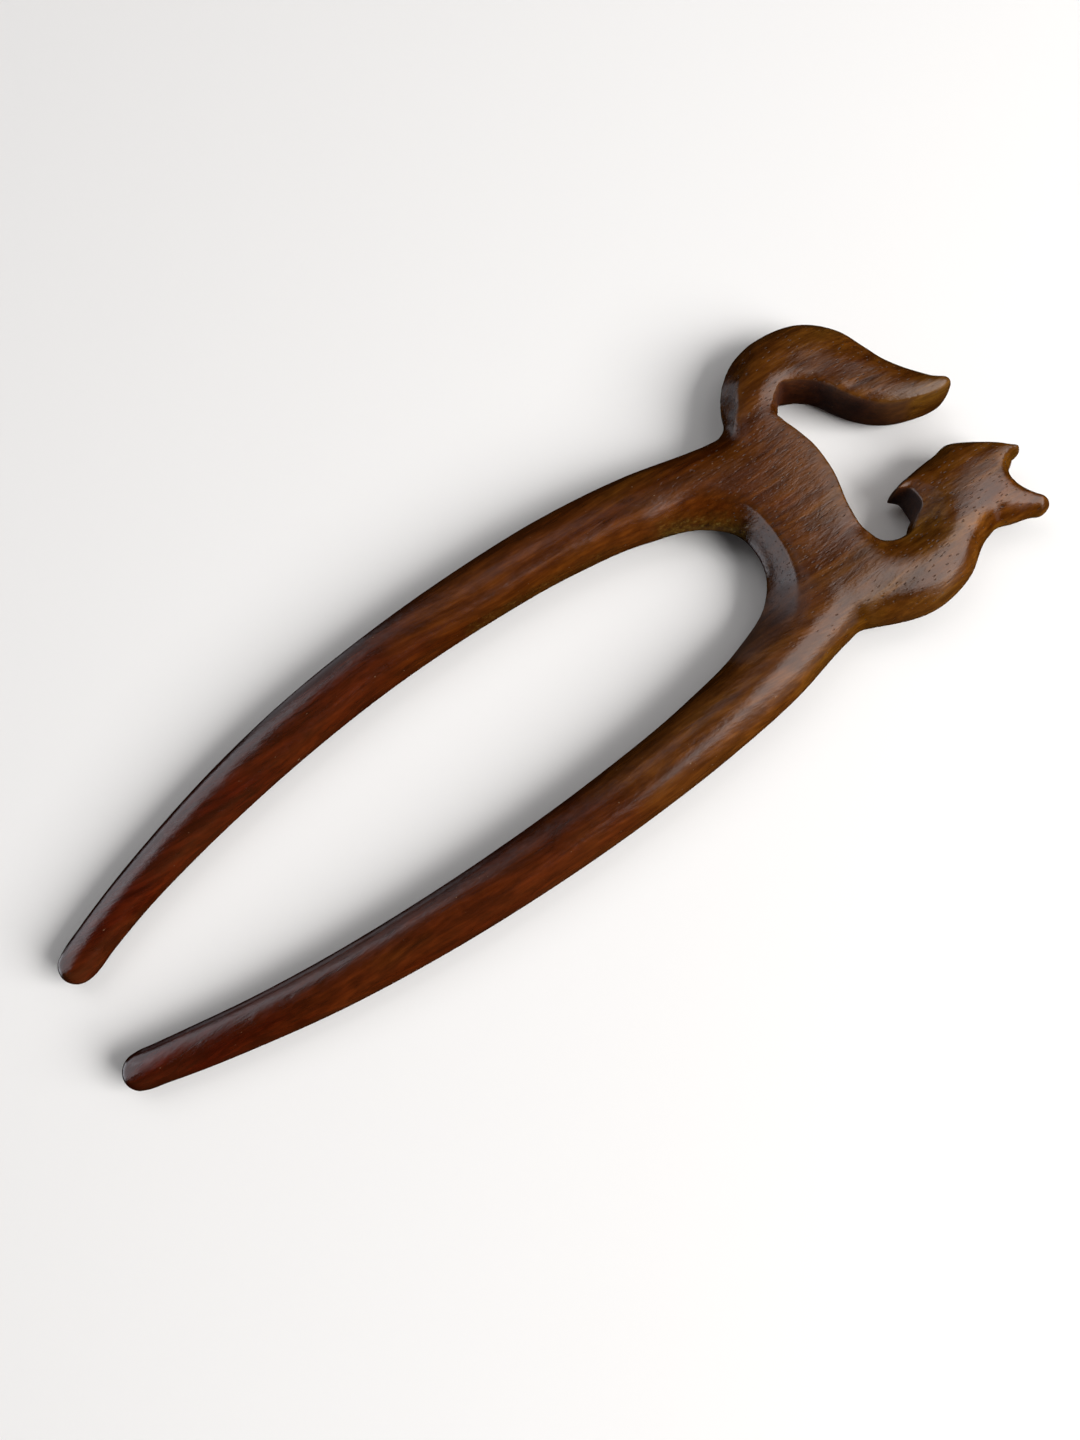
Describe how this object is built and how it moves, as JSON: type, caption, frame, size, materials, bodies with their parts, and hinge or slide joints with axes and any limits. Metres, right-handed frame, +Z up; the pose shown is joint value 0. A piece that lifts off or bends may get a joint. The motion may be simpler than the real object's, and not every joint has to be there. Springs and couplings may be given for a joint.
{
  "type": "hair fork",
  "caption": "Hair fork carved from one piece of dark wood: two long bowed prongs that join in an arch, whose bridge is a fox looking back under its raised, curling tail.",
  "frame": {"origin": "centre of the fork's outline seen from above, at the height of the table it lies on", "axes": "+Z up from the table, the prongs point along -X, the fox's head and tail are at the +X end, the tail on the +Y side"},
  "size_m": [0.16, 0.0548, 0.0084],
  "materials": {
    "hair_fork": "oiled satin dark walnut"
  },
  "bodies": {
    "root": {"hair_fork": "hair_fork"}
  },
  "joints": []
}
